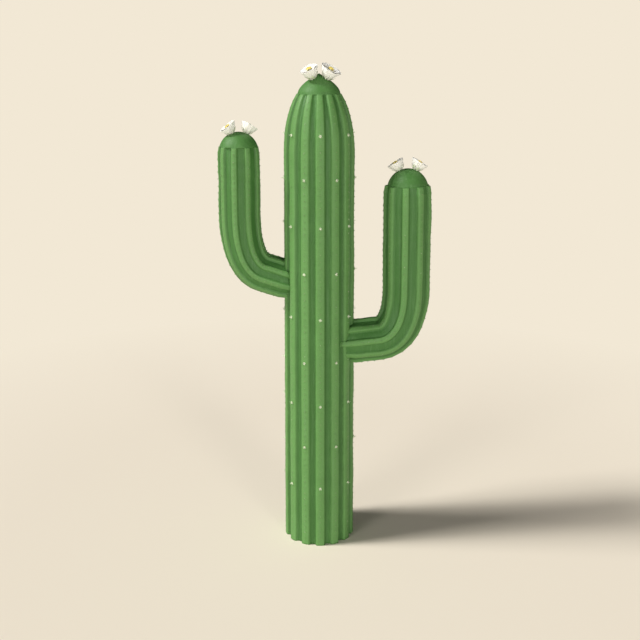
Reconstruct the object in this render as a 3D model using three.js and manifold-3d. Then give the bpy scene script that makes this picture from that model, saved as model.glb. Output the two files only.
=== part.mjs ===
// Saguaro cactus: a ribbed trunk, two upturned arms, and a pair of open blooms on each of the three tips.
// Millimetres, +Z up. The origin is the centre of the flat cut under the trunk, at ground level.
// The front of the plant faces -Y, so its left arm reaches towards -X and its right arm towards +X.

import * as THREE from "three";
import { mergeVertices } from "three/addons/utils/BufferGeometryUtils.js";
import Module from "manifold-3d";

const wasm = await Module();
wasm.setup();

// Clearance between neighbouring pieces.
const GAP = 0.3;
// Height of the small sloping step between the tops of the ribs and the smooth dome above them.
const SHOULDER_STEP = 7;

// Angles round a limb are measured from its front crest line, positive towards +X, in degrees.
// groove is the depth of a groove, crestWidth and grooveWidth are shares of one rib's turn.
const TRUNK = {
  ribs: 14,
  firstCrest: 2,
  crestWidth: 0.44,
  grooveWidth: 0.26,
  groove: 0.083, // share of the crest radius
  groundRadius: 278,
  upperRadius: 260,
  crownStart: 2900, // height where the straight taper turns into the rounded crown
  crownLoss: 0.363, // share of the upper radius that the crown loses by its shoulder
  crownPower: 3.5,
  shoulder: 3462, // height where the ribs end
  domeRadius: 153,
  domePower: 1.75,
  tip: 3608,
};

const ARM_SECTION = {
  ribs: 9,
  firstCrest: -10,
  crestWidth: 0.32,
  grooveWidth: 0.28,
  groove: 0.115, // share of the crest radius
};

// exitHeight is the height of the arm's centre line at EXIT from the trunk's axis, and rise its slope
// there in degrees. reach is how far out the upright part stands, and lean how far its top comes back
// in. The bend starts bendIn before the corner of the two straight lines and ends bendUp above it.
// forward is how far in front of the trunk's axis the arm starts, from where it runs back to the corner.
// The arm thickens round the bend, from rootRadius to crestRadius.
const EXIT = 263;
const ARMS = {
  arm_left: {
    side: -1,
    exitHeight: 2110,
    rise: 18,
    reach: 589,
    lean: 9,
    bendIn: 185,
    bendUp: 411,
    forward: 0,
    rootRadius: 150,
    crestRadius: 156,
    shoulder: 3090,
    domeRadius: 145,
    tip: 3202,
  },
  arm_right: {
    side: 1,
    exitHeight: 1632,
    rise: 4.75,
    reach: 665,
    lean: 16,
    bendIn: 223,
    bendUp: 403,
    forward: 47,
    rootRadius: 170,
    crestRadius: 179,
    shoulder: 2812,
    domeRadius: 151,
    tip: 2939,
  },
};

// An arm starts this far from the trunk's axis, well inside the trunk, before it is cut. It starts
// at this share of its radius, and is at full radius where it stands clear of the trunk.
const ARM_START = 120;
const ARM_START_SHARE = 0.8;
// Where along its bend an arm is divided into elbow and upright, as a share of the bend's length.
const DIVIDE_AT = 0.45;
// Crest radius of an arm below its shoulder: share of full radius at so many millimetres below it.
const ARM_SHOULDER = [
  [150, 1],
  [50, 0.985],
  [0, 0.94],
];

// seat is how far from the limb's axis the bloom stands on its dome, height from there to its rim, and
// rim the radius of its rim.
const BLOOMS = [
  { name: "bloom_trunk_left", limb: "trunk", azimuth: -48, seat: 58, tilt: 30, height: 84, rim: 67 },
  { name: "bloom_trunk_right", limb: "trunk", azimuth: 60, seat: 60, tilt: 31, height: 84, rim: 76 },
  { name: "bloom_arm_left_outer", limb: "arm_left", azimuth: -75, seat: 46, tilt: 37, height: 66, rim: 66 },
  { name: "bloom_arm_left_inner", limb: "arm_left", azimuth: 110, seat: 52, tilt: 32, height: 68, rim: 66 },
  { name: "bloom_arm_right_inner", limb: "arm_right", azimuth: -95, seat: 58, tilt: 34, height: 70, rim: 66 },
  { name: "bloom_arm_right_outer", limb: "arm_right", azimuth: 90, seat: 52, tilt: 32, height: 70, rim: 66 },
];
const BLOOM = {
  petals: 12,
  footRadius: 26,
  footGap: 2, // clearance between the foot and the dome under it
  notch: 0.88, // rim radius between two petals, as a share of the rim radius
  bowlDepth: 20,
  bossRadius: 24, // the mound of stamens in the bowl
  bossHeight: 12,
};

const STEM_FINISH = { color: 0x5b9148, roughness: 0.62, metalness: 0 };
const BLOOM_FINISH = { color: 0xf7f5ea, roughness: 0.55, metalness: 0 };

// A manifold-3d solid of a closed three.js geometry.
function solidOf(geometry) {
  const bare = geometry.clone();
  bare.deleteAttribute("normal");
  bare.deleteAttribute("uv");
  const merged = mergeVertices(bare, 1e-3);
  return new wasm.Manifold(
    new wasm.Mesh({
      numProp: 3,
      vertProperties: new Float32Array(merged.attributes.position.array),
      triVerts: new Uint32Array(merged.index.array),
    }),
  );
}

// A named mesh of a manifold-3d solid.
function meshOf(solid, name, finish) {
  const made = solid.getMesh();
  const geometry = new THREE.BufferGeometry();
  geometry.setAttribute("position", new THREE.BufferAttribute(made.vertProperties, 3));
  geometry.setIndex(new THREE.BufferAttribute(made.triVerts, 1));
  geometry.computeVertexNormals();
  const mesh = new THREE.Mesh(geometry, new THREE.MeshStandardMaterial(finish));
  mesh.name = name;
  return mesh;
}

// The corners of one rib's section: turn is a share of the rib's turn, low is 0 on the crest and 1
// in the groove.
function ribCorners({ crestWidth, grooveWidth }) {
  return [
    { turn: -crestWidth / 2, low: 0 },
    { turn: crestWidth / 2, low: 0 },
    { turn: 0.5 - grooveWidth / 2, low: 1 },
    { turn: 0.5 + grooveWidth / 2, low: 1 },
  ];
}

// A limb's closed geometry. Each station is { along, crest, ribbed }: the distance along the limb, the
// crest radius there, and how far the grooves are cut, from 0 to 1. place(along) gives the limb's
// centre, front direction and side direction at that distance.
function limbGeometry(stations, section, place, grow = 0) {
  const corners = ribCorners(section);
  const columns = section.ribs * corners.length;
  const profile = [
    new THREE.Vector2(0, stations[0].along),
    ...stations.map(({ along, crest }) => new THREE.Vector2(crest, along)),
  ];
  const geometry = new THREE.LatheGeometry(profile, columns);
  const position = geometry.attributes.position;
  for (let i = 0; i < position.count; i++) {
    const column = Math.floor(i / profile.length) % columns;
    const station = stations[Math.max(0, (i % profile.length) - 1)];
    const corner = corners[column % corners.length];
    const rib = Math.floor(column / corners.length);
    const angle = THREE.MathUtils.degToRad(
      section.firstCrest + ((rib + corner.turn) * 360) / section.ribs,
    );
    const onAxis = i % profile.length === 0 || station.crest === 0;
    const cut = section.groove * corner.low * station.ribbed;
    const radius = onAxis ? 0 : station.crest * (1 - cut) + grow;
    const { centre, front, side } = place(station.along);
    const point = centre
      .clone()
      .addScaledVector(front, radius * Math.cos(angle))
      .addScaledVector(side, radius * Math.sin(angle));
    position.setXYZ(i, point.x, point.y, point.z);
  }
  return geometry;
}

const FRONT = new THREE.Vector3(0, -1, 0);

function placeOnTrunk(along) {
  return {
    centre: new THREE.Vector3(0, 0, along),
    front: FRONT,
    side: new THREE.Vector3(1, 0, 0),
  };
}

// ---- Trunk ----

const TRUNK_RINGS = 4;
const CROWN_RINGS = 7;
const DOME_RINGS = 5;

// Crest radius of the trunk at a height below its shoulder.
function trunkCrest(height) {
  if (height <= TRUNK.crownStart) {
    return THREE.MathUtils.lerp(TRUNK.groundRadius, TRUNK.upperRadius, height / TRUNK.crownStart);
  }
  const share = (height - TRUNK.crownStart) / (TRUNK.shoulder - TRUNK.crownStart);
  return TRUNK.upperRadius * (1 - TRUNK.crownLoss * share ** TRUNK.crownPower);
}

// Height of the trunk's smooth dome at a radius from its axis.
function trunkDomeHeight(radius) {
  const share = (1 - radius / TRUNK.domeRadius) ** (1 / TRUNK.domePower);
  return THREE.MathUtils.lerp(TRUNK.shoulder + SHOULDER_STEP, TRUNK.tip, share);
}

function trunkStations(grow = 0) {
  const stations = [];
  for (let i = 0; i <= TRUNK_RINGS; i++) {
    const along = (TRUNK.crownStart * i) / TRUNK_RINGS;
    stations.push({ along, crest: trunkCrest(along), ribbed: 1 });
  }
  for (let i = 1; i <= CROWN_RINGS; i++) {
    // Rings draw closer together towards the shoulder, where the crown curves most.
    const share = Math.sin((i / CROWN_RINGS) * (Math.PI / 2));
    const along = THREE.MathUtils.lerp(TRUNK.crownStart, TRUNK.shoulder, share);
    stations.push({ along, crest: trunkCrest(along), ribbed: 1 });
  }
  for (let i = 0; i < DOME_RINGS; i++) {
    const crest = TRUNK.domeRadius * Math.cos((i / DOME_RINGS) * (Math.PI / 2));
    stations.push({ along: trunkDomeHeight(crest) + grow, crest, ribbed: 0 });
  }
  stations.push({ along: TRUNK.tip + grow, crest: 0, ribbed: 0 });
  stations[0].along -= grow;
  return stations;
}

// ---- Arms ----

const BEND_RINGS = 10;
const UPRIGHT_RINGS = 2;

// The centre line of an arm: straight out of the trunk, round the bend, and straight up.
function armPath(arm) {
  const rise = THREE.MathUtils.degToRad(arm.rise);
  const heightAt = (reach) => arm.exitHeight + (reach - EXIT) * Math.tan(rise);
  const point = (reach, height) => new THREE.Vector3(arm.side * reach, 0, height);
  const corner = point(arm.reach, heightAt(arm.reach));
  const start = point(ARM_START, heightAt(ARM_START)).addScaledVector(FRONT, arm.forward);
  const bendShare = (arm.bendIn * Math.cos(rise)) / (arm.reach - ARM_START);
  const bendStart = corner.clone().lerp(start, bendShare);
  const top = point(arm.reach - arm.lean, arm.tip);
  const bendEnd = corner.clone().lerp(top, arm.bendUp / (arm.tip - corner.z));
  const path = new THREE.CurvePath();
  path.add(new THREE.LineCurve3(start, bendStart));
  path.add(new THREE.QuadraticBezierCurve3(bendStart, corner, bendEnd));
  path.add(new THREE.LineCurve3(bendEnd, top));
  return path;
}

// Centre, front and side directions of an arm at a distance along its path.
function placeOnArm(path) {
  const total = path.getLength();
  return (along) => {
    const share = THREE.MathUtils.clamp(along / total, 0, 1);
    const tangent = path.getTangentAt(share);
    const side = tangent.clone().cross(FRONT).normalize();
    return { centre: path.getPointAt(share), front: side.clone().cross(tangent), side };
  };
}

// Height above ground turned into distance along an arm's path, for heights on its upright part.
function alongAt(arm, path, height) {
  const upright = path.curves[2];
  const slope = upright.getLength() / (upright.v2.z - upright.v1.z);
  return path.getLength() - (arm.tip - height) * slope;
}

// Height of an arm's dome at a radius from the arm's axis.
function armDomeHeight(arm, radius) {
  return arm.tip - arm.domeRadius + Math.sqrt(arm.domeRadius ** 2 - radius ** 2);
}

// Crest radius of an arm at a distance along its path, below its shoulder.
function armCrest(arm, path, along) {
  const [straight, withBend] = path.getCurveLengths();
  const share = THREE.MathUtils.smoothstep(along, straight, withBend);
  return THREE.MathUtils.lerp(arm.rootRadius, arm.crestRadius, share);
}

function elbowStations(arm, path) {
  const [straight, withBend] = path.getCurveLengths();
  const end = THREE.MathUtils.lerp(straight, withBend, DIVIDE_AT) - GAP / 2;
  const rings = Math.round(BEND_RINGS * DIVIDE_AT);
  const clear = (EXIT - ARM_START) / Math.cos(THREE.MathUtils.degToRad(arm.rise));
  const stations = [
    { along: 0, crest: arm.rootRadius * ARM_START_SHARE, ribbed: 1 },
    { along: clear, crest: arm.rootRadius, ribbed: 1 },
  ];
  for (let i = 0; i <= rings; i++) {
    const along = THREE.MathUtils.lerp(straight, end, i / rings);
    stations.push({ along, crest: armCrest(arm, path, along), ribbed: 1 });
  }
  stations.push({ along: end, crest: 0, ribbed: 0 });
  return stations;
}

function uprightStations(arm, path) {
  const [straight, withBend] = path.getCurveLengths();
  const start = THREE.MathUtils.lerp(straight, withBend, DIVIDE_AT) + GAP / 2;
  const rings = Math.round(BEND_RINGS * (1 - DIVIDE_AT));
  const stations = [];
  for (let i = 0; i <= rings; i++) {
    const along = THREE.MathUtils.lerp(start, withBend, i / rings);
    stations.push({ along, crest: armCrest(arm, path, along), ribbed: 1 });
  }
  const neck = alongAt(arm, path, arm.shoulder - ARM_SHOULDER[0][0]);
  for (let i = 1; i < UPRIGHT_RINGS; i++) {
    const along = THREE.MathUtils.lerp(withBend, neck, i / UPRIGHT_RINGS);
    stations.push({ along, crest: arm.crestRadius, ribbed: 1 });
  }
  for (const [below, share] of ARM_SHOULDER) {
    const along = alongAt(arm, path, arm.shoulder - below);
    stations.push({ along, crest: arm.crestRadius * share, ribbed: 1 });
  }
  return [...stations, ...armDomeStations(arm, path)];
}

function armDomeStations(arm, path) {
  const stations = [];
  const base = arm.tip - arm.domeRadius;
  const lowest = Math.asin((arm.shoulder + SHOULDER_STEP - base) / arm.domeRadius);
  for (let i = 0; i < DOME_RINGS; i++) {
    const angle = THREE.MathUtils.lerp(lowest, Math.PI / 2, i / DOME_RINGS);
    const height = base + arm.domeRadius * Math.sin(angle);
    const crest = arm.domeRadius * Math.cos(angle);
    stations.push({ along: alongAt(arm, path, height), crest, ribbed: 0 });
  }
  stations.push({ along: path.getLength(), crest: 0, ribbed: 0 });
  return stations;
}

// ---- Blooms ----

// Rows of a bloom's profile: the last one of its foot, and its rim.
const FOOT_ROW = 1;
const RIM_ROW = 5;
const FOOT_STEPS = 12;

// Where a bloom stands on the dome of its limb, and how it is turned.
function bloomPlace(bloom) {
  const azimuth = THREE.MathUtils.degToRad(bloom.azimuth);
  const outward = new THREE.Vector3(Math.sin(azimuth), -Math.cos(azimuth), 0);
  const arm = ARMS[bloom.limb];
  const axis = new THREE.Vector3(arm ? arm.side * (arm.reach - arm.lean) : 0, 0, 0);
  const domeHeight = (radius) => (arm ? armDomeHeight(arm, radius) : trunkDomeHeight(radius));
  const seat = axis.clone().addScaledVector(outward, bloom.seat);
  seat.z = domeHeight(bloom.seat);
  const hinge = new THREE.Vector3(0, 0, 1).cross(outward);
  const turn = new THREE.Quaternion().setFromAxisAngle(hinge, THREE.MathUtils.degToRad(bloom.tilt));
  return { seat, turn, axis, domeHeight };
}

// How far up a bloom's own axis its foot meets the clearance round the dome, at a point of the foot.
function footHeight(x, y, { seat, turn, axis, domeHeight }) {
  const local = new THREE.Vector3(x, y, 0);
  for (let step = 0; step < FOOT_STEPS; step++) {
    const point = local.clone().applyQuaternion(turn).add(seat);
    const radius = Math.hypot(point.x - axis.x, point.y - axis.y);
    local.z += domeHeight(radius) + BLOOM.footGap - point.z;
  }
  return local.z;
}

// A goblet with a notched rim, a mound in its bowl, and a foot that follows the dome under it. It
// stands on its local origin, along +Z.
function bloomGeometry(bloom, place) {
  const { petals, footRadius, notch, bowlDepth, bossRadius, bossHeight } = BLOOM;
  const { height, rim } = bloom;
  const profile = [
    [0, 0],
    [footRadius, 0],
    [footRadius * 1.1, height * 0.15],
    [rim * 0.66, height * 0.4],
    [rim * 0.9, height * 0.75],
    [rim, height],
    [rim * 0.76, height - bowlDepth * 0.3],
    [bossRadius, height - bowlDepth],
    [bossRadius * 0.8, height - bowlDepth + bossHeight],
    [0, height - bowlDepth + bossHeight],
  ];
  const points = profile.map(([radius, at]) => new THREE.Vector2(radius, at));
  const geometry = new THREE.LatheGeometry(points, petals * 2).rotateX(Math.PI / 2);
  const position = geometry.attributes.position;
  for (let i = 0; i < position.count; i++) {
    const column = Math.floor(i / points.length);
    const row = i % points.length;
    if (row <= FOOT_ROW) {
      position.setZ(i, footHeight(position.getX(i), position.getY(i), place));
    }
    if (row === RIM_ROW && column % 2 === 1) {
      position.setX(i, position.getX(i) * notch);
      position.setY(i, position.getY(i) * notch);
    }
  }
  return geometry;
}

function bloomMesh(bloom) {
  const place = bloomPlace(bloom);
  const mesh = meshOf(solidOf(bloomGeometry(bloom, place)), bloom.name, BLOOM_FINISH);
  mesh.position.copy(place.seat);
  mesh.quaternion.copy(place.turn);
  return mesh;
}

// ---- The plant ----

const cactus = new THREE.Group();
cactus.name = "saguaro_cactus";

const trunkSolid = solidOf(limbGeometry(trunkStations(), TRUNK, placeOnTrunk));
cactus.add(meshOf(trunkSolid, "trunk", STEM_FINISH));

// The trunk grown by the gap, to cut the arms with.
const grownTrunk = limbGeometry(trunkStations(GAP), TRUNK, placeOnTrunk, GAP);

for (const [name, arm] of Object.entries(ARMS)) {
  const path = armPath(arm);
  const place = placeOnArm(path);
  const group = new THREE.Group();
  group.name = name;
  const elbow = solidOf(limbGeometry(elbowStations(arm, path), ARM_SECTION, place));
  group.add(meshOf(elbow.subtract(solidOf(grownTrunk)), name + "_elbow", STEM_FINISH));
  const upright = solidOf(limbGeometry(uprightStations(arm, path), ARM_SECTION, place));
  group.add(meshOf(upright, name + "_upright", STEM_FINISH));
  cactus.add(group);
}

for (const bloom of BLOOMS) {
  cactus.add(bloomMesh(bloom));
}

export default cactus;
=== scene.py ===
"""Saguaro cactus: the looks of the plant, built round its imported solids.

A ribbed trunk carries two upturned arms, and each of the three tips carries a pair of open blooms. The
skins replace the faceted limbs, areoles with felt and spines sit along every rib, and each bloom is built
from its tube, bracts, petals, stamens and pistil. Metres, +Z up, the front of the plant faces -Y.
"""

import logging
import math
from abc import ABC, abstractmethod
from dataclasses import dataclass, field
from enum import Enum

import bpy
import numpy as np
from mathutils import Matrix, Vector


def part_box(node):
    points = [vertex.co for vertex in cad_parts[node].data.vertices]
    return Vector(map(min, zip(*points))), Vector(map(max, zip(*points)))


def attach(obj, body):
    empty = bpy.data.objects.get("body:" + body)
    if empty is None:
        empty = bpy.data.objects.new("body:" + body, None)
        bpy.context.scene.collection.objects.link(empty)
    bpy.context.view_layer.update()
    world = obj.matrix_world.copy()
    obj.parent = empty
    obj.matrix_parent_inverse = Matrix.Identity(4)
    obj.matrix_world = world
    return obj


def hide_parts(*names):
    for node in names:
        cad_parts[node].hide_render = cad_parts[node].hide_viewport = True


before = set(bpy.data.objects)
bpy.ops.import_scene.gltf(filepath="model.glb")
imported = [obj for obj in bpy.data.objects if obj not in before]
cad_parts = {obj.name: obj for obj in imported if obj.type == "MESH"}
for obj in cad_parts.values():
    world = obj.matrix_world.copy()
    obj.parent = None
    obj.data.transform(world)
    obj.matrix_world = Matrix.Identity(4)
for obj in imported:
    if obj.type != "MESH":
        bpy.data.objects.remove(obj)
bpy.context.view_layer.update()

LOG = logging.getLogger("saguaro")

FRONT = np.array([0.0, -1.0, 0.0])
RIGHT = np.array([1.0, 0.0, 0.0])
UP = np.array([0.0, 0.0, 1.0])

Array = np.ndarray
Random = np.random.Generator
Socket = bpy.types.NodeSocket
Colour = tuple[float, float, float]
Triple = tuple[float, float, float]
Span = tuple[float, float]

# Radians from one spine or stamen to the next one of its spiral.
GOLDEN_TURN = 2.39996


class Slot(Enum):
    """The record's material slots."""

    STEM = "stem"
    BLOOM = "bloom"


# ---- Shapes ----


def unit(vectors: Array) -> Array:
    """Returns the vectors, one in each row, scaled to length 1."""
    return vectors / np.linalg.norm(vectors, axis=-1, keepdims=True)


def smooth(low: float, high: float, values: Array) -> Array:
    """Returns a smooth step from 0 at low to 1 at high, looked up at the values."""
    share = np.clip((values - low) / (high - low), 0, 1)
    return share * share * (3 - 2 * share)


def even_turns(count: int) -> Array:
    """Returns that many directions spread evenly round a circle, in radians."""
    return np.arange(count) * 2 * math.pi / count


def on_circle(turn: Array, radius: float | Array = 1.0, height: float = 0.0) -> Array:
    """Returns points round the Z axis, at directions, a radius and a height."""
    return np.stack([radius * np.cos(turn), radius * np.sin(turn), 0 * turn + height], axis=-1)


@dataclass
class Shape:
    """Points and faces of a piece before it becomes a mesh.

    tint picks a finish for each face, where a piece has several.
    """

    points: Array
    quads: Array = field(default_factory=lambda: np.zeros((0, 4), int))
    tris: Array = field(default_factory=lambda: np.zeros((0, 3), int))
    tint: Array | None = None

    @classmethod
    def tube(cls, rows: Array, first: Array, last: Array) -> "Shape":
        """A closed tube through rings of points, with a fan over each end.

        Args:
            rows: Points of the rings, as rings by columns by 3.
            first: The middle of the fan over the first ring.
            last: The middle of the fan over the last ring.

        Returns:
            The closed shape.
        """
        rings, columns = rows.shape[:2]
        here = np.arange(columns)
        there = (here + 1) % columns
        start = (np.arange(rings - 1) * columns)[:, None]
        quads = np.stack(
            [start + here, start + there, start + columns + there, start + columns + here],
            axis=-1,
        ).reshape(-1, 4)
        low, high = rings * columns, rings * columns + 1
        top = (rings - 1) * columns
        tris = np.concatenate(
            [
                np.stack([np.full(columns, low), there, here], axis=1),
                np.stack([np.full(columns, high), top + here, top + there], axis=1),
            ]
        )
        return cls(np.vstack([rows.reshape(-1, 3), first, last]), quads, tris)

    def copies(self, frames: Array, places: Array, tints: Array | None = None) -> "Shape":
        """Many copies of this shape, joined into one.

        Args:
            frames: One 3 by 3 matrix for each copy, its columns the copy's own axes with their scale.
            places: Where each copy's origin goes.
            tints: The finish of each copy, or None for the first one.

        Returns:
            The joined shape.
        """
        points = np.einsum("nij,pj->npi", frames, self.points) + places[:, None, :]
        shift = (np.arange(len(places)) * len(self.points))[:, None, None]
        joined = Shape(
            points.reshape(-1, 3),
            (self.quads[None] + shift).reshape(-1, 4),
            (self.tris[None] + shift).reshape(-1, 3),
        )
        if tints is not None:
            joined.tint = np.concatenate(
                [np.repeat(tints, len(self.quads)), np.repeat(tints, len(self.tris))]
            )
        return joined

    @staticmethod
    def joined(shapes: "list[Shape]") -> "Shape":
        """Several shapes as one.

        Args:
            shapes: The shapes to join.

        Returns:
            Their points and faces in one shape.
        """
        starts = np.cumsum([0] + [len(shape.points) for shape in shapes[:-1]])
        made = Shape(
            np.vstack([shape.points for shape in shapes]),
            np.vstack([shape.quads + start for shape, start in zip(shapes, starts)]),
            np.vstack([shape.tris + start for shape, start in zip(shapes, starts)]),
        )
        if all(shape.tint is not None for shape in shapes):
            cuts = [np.split(shape.tint, [len(shape.quads)]) for shape in shapes]
            made.tint = np.concatenate([cut[0] for cut in cuts] + [cut[1] for cut in cuts])
        return made


def lathe(profile: list[Span], columns: int, flute_depth: float = 0.0) -> Shape:
    """A turned closed shape.

    Args:
        profile: Points of (radius, height) from bottom to top.
        columns: Columns round it.
        flute_depth: How deep its flutes are, as a share of the radius.

    Returns:
        The closed shape.
    """
    turn = even_turns(columns)
    flutes = 1 - flute_depth * (1 + np.cos(turn * columns / 4)) / 2
    rows = np.array([on_circle(turn, radius * flutes, height) for radius, height in profile])
    return Shape.tube(rows, profile[0][1] * UP, profile[-1][1] * UP)


def cushion(rng: Random, columns: int, rows: int) -> Shape:
    """An uneven flattened ball of unit radius, a little longer than wide.

    Args:
        rng: The source of its unevenness.
        columns: Columns round it.
        rows: Rings from bottom to top.

    Returns:
        The cushion's shape.
    """
    tilt = np.linspace(-0.5, 1, rows + 1)[:-1, None] * math.pi / 2
    swell = 1 + rng.uniform(-0.13, 0.13, (rows, columns))
    flat = np.cos(tilt) * swell
    turn = even_turns(columns)
    points = np.stack([flat * np.cos(turn), 1.25 * flat * np.sin(turn), 0.55 * np.sin(tilt) * swell], axis=-1)
    return Shape.tube(points, -0.45 * UP, 0.56 * UP)


def needle(sides: int) -> Shape:
    """A slightly bowed spine of unit length along +Z, with unit radius at its root.

    Args:
        sides: Columns round it.

    Returns:
        The spine's shape.
    """
    rows = []
    for height, radius, bow in ((0.0, 1.0, 0.0), (0.45, 0.72, 0.9), (0.8, 0.36, 0.6)):
        rows.append(on_circle(even_turns(sides), radius, height) + bow * RIGHT)
    return Shape.tube(np.array(rows), -0.02 * UP, UP)


def mesh_object(name: str, shape: Shape, finishes: list[bpy.types.Material]) -> bpy.types.Object:
    """Makes a smooth-shaded mesh object of a shape.

    Args:
        name: The object's name.
        shape: Its points and faces.
        finishes: Its materials, in the order that the shape's tints number them.

    Returns:
        The new object, linked to the scene.
    """
    mesh = bpy.data.meshes.new(name)
    sizes = np.repeat([4, 3], [len(shape.quads), len(shape.tris)])
    corners = np.concatenate([shape.quads.ravel(), shape.tris.ravel()])
    mesh.vertices.add(len(shape.points))
    mesh.vertices.foreach_set("co", shape.points.astype(np.float32).ravel())
    mesh.loops.add(len(corners))
    mesh.loops.foreach_set("vertex_index", corners.astype(np.int32))
    mesh.polygons.add(len(sizes))
    mesh.polygons.foreach_set("loop_start", np.concatenate([[0], np.cumsum(sizes)[:-1]]).astype(np.int32))
    mesh.polygons.foreach_set("use_smooth", np.ones(len(sizes), bool))
    for finish in finishes:
        mesh.materials.append(finish)
    if shape.tint is not None:
        mesh.polygons.foreach_set("material_index", shape.tint.astype(np.int32))
    mesh.update(calc_edges=True)
    made = bpy.data.objects.new(name, mesh)
    bpy.context.scene.collection.objects.link(made)
    return made


def add_chart(mesh: bpy.types.Mesh, name: str, chart: Array) -> None:
    """Adds a map of a mesh that goes once round it.

    Args:
        mesh: The mesh.
        name: The map's name.
        chart: Each point's place in the map, as (share of the way round, share of the way up).
    """
    corners = np.zeros(len(mesh.loops), np.int32)
    mesh.loops.foreach_get("vertex_index", corners)
    starts = np.zeros(len(mesh.polygons), np.int32)
    mesh.polygons.foreach_get("loop_start", starts)
    places = chart[corners]
    # A face that crosses the seam keeps all of its corners on the far side of it.
    face = np.repeat(np.arange(len(starts)), np.diff(np.append(starts, len(corners))))
    widest = np.maximum.reduceat(places[:, 0], starts)[face]
    places[(widest > 0.9) & (places[:, 0] < 0.1), 0] += 1.0
    layer = mesh.uv_layers.new(name=name, do_init=False)
    layer.uv.foreach_set("vector", places.astype(np.float32).ravel())


def add_piece(
    name: str, shape: Shape, finishes: list[bpy.types.Material], slot: Slot, nodes: list[str]
) -> bpy.types.Object:
    """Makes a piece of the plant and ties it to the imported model.

    Args:
        name: The piece's name.
        shape: Its points and faces.
        finishes: Its materials.
        slot: The record's slot for its finish; not used.
        nodes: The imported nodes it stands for.

    Returns:
        The new object.
    """
    piece = mesh_object(name, shape, finishes)
    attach(piece, "root")
    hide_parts(*nodes)
    LOG.info("%s: %d faces", name, len(shape.quads) * 2 + len(shape.tris))
    return piece


# ---- Finishes ----


class Nodes:
    """Adds nodes to one material and links them."""

    def __init__(self, name: str, roughness: float, specular: float) -> None:
        """Makes the material with its main shader.

        Args:
            name: The material's name.
            roughness: Roughness of the main shader.
            specular: Specular level of the main shader.
        """
        self.material = bpy.data.materials.new(name)
        self.material.use_nodes = True
        self.tree = self.material.node_tree
        self.shader = self.tree.nodes["Principled BSDF"]
        self.shader.inputs["Roughness"].default_value = roughness
        self.shader.inputs["Specular IOR Level"].default_value = specular

    def add(self, kind: str, settings: dict | None = None, **inputs: object) -> bpy.types.Node:
        """Adds a node.

        Args:
            kind: The node's type, without its ShaderNode prefix.
            settings: Properties to set on it.
            **inputs: Values or output sockets for its inputs, with _ for a space in a name.

        Returns:
            The new node.
        """
        node = self.tree.nodes.new("ShaderNode" + kind)
        for key, value in (settings or {}).items():
            setattr(node, key, value)
        for key, value in inputs.items():
            self.feed(node.inputs[key.replace("_", " ")], value)
        return node

    def feed(self, socket: Socket, value: object) -> None:
        """Links an output to a socket, or sets a plain value on it.

        Args:
            socket: The input.
            value: An output socket, or a value.
        """
        if isinstance(value, Socket):
            self.tree.links.new(value, socket)
        else:
            socket.default_value = value

    def noise(self, place: object, scale: float, detail: float = 2.0) -> Socket:
        """Returns the factor of a noise texture at a place, with that scale and detail."""
        made = self.add("TexNoise", Vector=place, Scale=scale, Detail=detail)
        return made.outputs["Fac"]

    def stretched(self, place: object, scale: Triple) -> Socket:
        """Returns a place scaled by different amounts along its axes."""
        return self.add("Mapping", Vector=place, Scale=scale).outputs["Vector"]

    def span(self, value: object, source: Span, target: Span) -> Socket:
        """Spreads a value from one range over another.

        Args:
            value: The value to spread.
            source: Start and end of its own range.
            target: Results at its start and its end.

        Returns:
            The spread value's socket.
        """
        node = self.add("MapRange")
        for place, entry in enumerate((value, *source, *target)):
            self.feed(node.inputs[place], entry)
        return node.outputs["Result"]

    def math(self, operation: str, first: object, second: object) -> Socket:
        """A sum on two values.

        Args:
            operation: The sum's name.
            first: A value or a socket.
            second: A value or a socket.

        Returns:
            The result's socket.
        """
        node = self.add("Math", {"operation": operation})
        self.feed(node.inputs[0], first)
        self.feed(node.inputs[1], second)
        return node.outputs["Value"]

    def blend(
        self, share: object, first: object, second: object, mode: str = "MIX"
    ) -> Socket:
        """Mixes two colours.

        Args:
            share: How much of the second colour shows.
            first: A colour or a socket.
            second: A colour or a socket.
            mode: How the second lies over the first.

        Returns:
            The mixed colour's socket.
        """
        node = self.add("Mix", {"data_type": "RGBA", "blend_type": mode})
        self.feed(node.inputs["Factor"], share)
        for socket, value in zip((node.inputs[6], node.inputs[7]), (first, second)):
            self.feed(socket, (*value, 1) if isinstance(value, tuple) else value)
        return node.outputs[2]

    def bump(self, height: object, distance: float, under: object = None) -> Socket:
        """A bump over the surface, or over another bump.

        Args:
            height: The height's socket, from 0 to 1.
            distance: How deep it reaches, in metres.
            under: The normal it lies over, if any.

        Returns:
            The bumped normal's socket.
        """
        node = self.add("Bump", Strength=1.0, Distance=distance, Height=height)
        if under is not None:
            self.feed(node.inputs["Normal"], under)
        return node.outputs["Normal"]


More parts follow.
